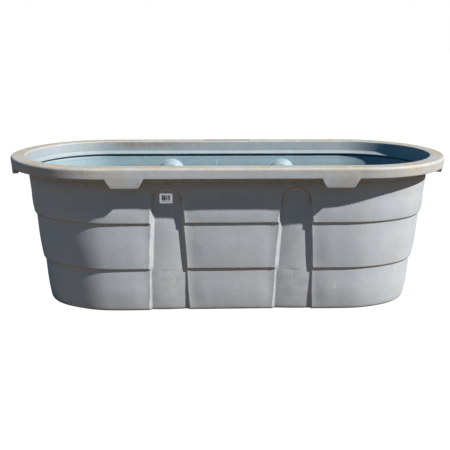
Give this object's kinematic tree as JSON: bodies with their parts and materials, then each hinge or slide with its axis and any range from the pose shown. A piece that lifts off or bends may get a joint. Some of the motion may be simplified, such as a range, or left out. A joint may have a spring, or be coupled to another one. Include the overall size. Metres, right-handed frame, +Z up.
{
  "type": "livestock water trough",
  "caption": "Oblong moulded plastic stock water trough with stepped walls, arched side channels, a capping rim with hand tabs, and a screw drain plug with a hose cap.",
  "frame": {"origin": "on the ground under the middle of the tub, bottom centre of the trough", "axes": "+X along the trough, +Y towards the side with the drain and the valve seat, +Z up"},
  "size_m": [1.76, 0.68, 0.61],
  "materials": {
    "grey_tub": "weathered matte moulded polyethylene, dusty in the corners",
    "grey_rim": "weathered matte moulded polyethylene with dried mud and dust on top",
    "label_vinyl": "white printed vinyl sticker",
    "black_nylon": "moulded glass-filled nylon",
    "plug_nylon": "moulded nylon, worn on the wings",
    "cap_nylon": "moulded nylon",
    "seal_rubber": "black moulded rubber"
  },
  "bodies": {
    "tank": {"tub_shell": "grey_tub", "rim_ring": "grey_rim", "stock_label": "label_vinyl", "drain_sleeve": "black_nylon", "inner_gasket": "seal_rubber", "outer_washer": "seal_rubber", "drain_locknut": "black_nylon"},
    "plug_seal": {"plug_gasket": "seal_rubber"},
    "plug": {"drain_plug": "plug_nylon"},
    "cap_seal": {"hose_cap_washer": "seal_rubber"},
    "cap": {"hose_cap": "cap_nylon"}
  },
  "joints": [
    {"name": "plug_withdraw", "type": "slide", "parent": "tank", "child": "plug_seal", "axis": [0, 1, 0], "range_m": [0, 0.0201]},
    {"name": "plug_turn", "type": "hinge", "parent": "plug_seal", "child": "plug", "pos_m": [0, 0.185, 0.058], "axis": [0, 1, 0], "range_deg": [0, 1440]},
    {"name": "cap_withdraw", "type": "slide", "parent": "plug", "child": "cap_seal", "axis": [0, 1, 0], "range_m": [0, 0.0101]},
    {"name": "cap_turn", "type": "hinge", "parent": "cap_seal", "child": "cap", "pos_m": [0, 0.185, 0.058], "axis": [0, 1, 0], "range_deg": [0, 1440]}
  ],
  "couplings": [
    {"joint": "plug_withdraw", "follows": "plug_turn", "m_per_rad": 0.00079577},
    {"joint": "cap_withdraw", "follows": "cap_turn", "m_per_rad": 0.00039789}
  ]
}
